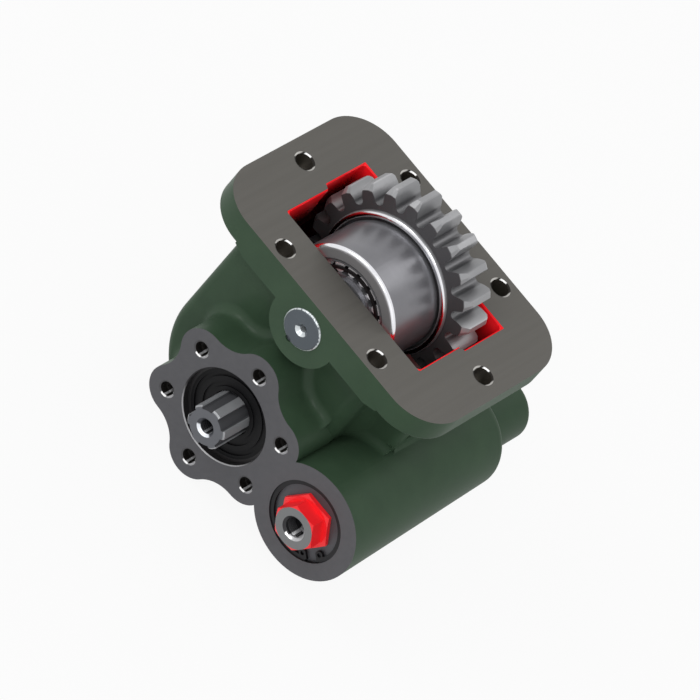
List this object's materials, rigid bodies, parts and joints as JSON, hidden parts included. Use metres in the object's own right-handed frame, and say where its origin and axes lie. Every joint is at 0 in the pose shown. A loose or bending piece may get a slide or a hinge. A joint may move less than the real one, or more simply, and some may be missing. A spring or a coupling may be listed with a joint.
{
  "type": "power take off unit",
  "caption": "Side mounted gearbox power take off with a sliding gear shifted by air, a splined output shaft and a star shaped pump flange.",
  "frame": {"origin": "centre of the gearbox bolt pattern on the flange face", "axes": "+Z out of the flange face, X along the flange's long side, Y along both shafts with the pump side towards -Y"},
  "size_m": [0.1926, 0.195, 0.1881],
  "materials": {
    "casting": "green paint with machined faces",
    "gear_steel": "ground and polished",
    "ground_steel": "ground",
    "ring_steel": "ground",
    "roller_steel": "polished",
    "cage_steel": "pressed sheet",
    "dark_steel": "black oxide",
    "seal_rubber": "moulded",
    "cover_paint": "green paint",
    "piston_metal": "turned",
    "fork_metal": "as cast",
    "cap_metal": "turned",
    "red_paint": "gloss red paint"
  },
  "bodies": {
    "unit": {"housing": "casting", "idler_shaft": "ground_steel", "idler_lock_pin": "dark_steel", "roller_inner_ring_front": "ring_steel", "roller_inner_ring_rear": "ring_steel", "inner_ring_spacer": "ring_steel", "thrust_washer_front": "dark_steel", "thrust_washer_rear": "dark_steel", "output_outer_ring_front": "ring_steel", "output_outer_ring_rear": "ring_steel", "bearing_shields_front": "cage_steel", "bearing_shields_rear": "cage_steel", "shaft_seal": "seal_rubber", "bearing_circlip_front": "dark_steel", "rear_cover": "cover_paint", "rear_cover_screws": "dark_steel", "rod_seal": "seal_rubber", "return_spring": "dark_steel", "cylinder_cap": "cap_metal", "cap_seal": "seal_rubber", "cap_circlip": "dark_steel", "fitting_nut": "red_paint", "air_fitting": "red_paint"},
    "idler": {"input_gear": "gear_steel", "roller_outer_ring_front": "ring_steel", "roller_outer_ring_rear": "ring_steel"},
    "rollers": {"roller_cage_front": "cage_steel", "roller_cage_rear": "cage_steel", "rollers_front": "roller_steel", "rollers_rear": "roller_steel"},
    "output": {"output_shaft": "ground_steel", "output_inner_ring_front": "ring_steel", "output_inner_ring_rear": "ring_steel", "bearing_circlip_rear": "dark_steel"},
    "slider": {"sliding_gear": "gear_steel"},
    "shifter": {"piston": "piston_metal", "piston_seal": "seal_rubber", "shift_rod": "ground_steel", "piston_nut": "dark_steel", "shift_fork": "fork_metal", "fork_screw": "dark_steel", "spring_collar": "dark_steel"}
  },
  "joints": [
    {"name": "input_gear_spin", "type": "hinge", "parent": "unit", "child": "idler", "pos_m": [0, 0, -0.018], "axis": [0, 1, 0], "continuous": true},
    {"name": "roller_cage_spin", "type": "hinge", "parent": "unit", "child": "rollers", "pos_m": [0, 0, -0.018], "axis": [0, 1, 0], "continuous": true},
    {"name": "output_spin", "type": "hinge", "parent": "unit", "child": "output", "pos_m": [0, 0, -0.10113], "axis": [0, 1, 0], "continuous": true},
    {"name": "shift_slide", "type": "slide", "parent": "unit", "child": "shifter", "axis": [0, -1, 0], "range_m": [0, 0.025]},
    {"name": "gear_slide", "type": "slide", "parent": "output", "child": "slider", "axis": [0, -1, 0], "range_m": [0, 0.025]}
  ],
  "couplings": [
    {"joint": "output_spin", "follows": "input_gear_spin", "ratio": -1.5},
    {"joint": "roller_cage_spin", "follows": "input_gear_spin", "ratio": 0.5614},
    {"joint": "gear_slide", "follows": "shift_slide", "ratio": 1}
  ]
}
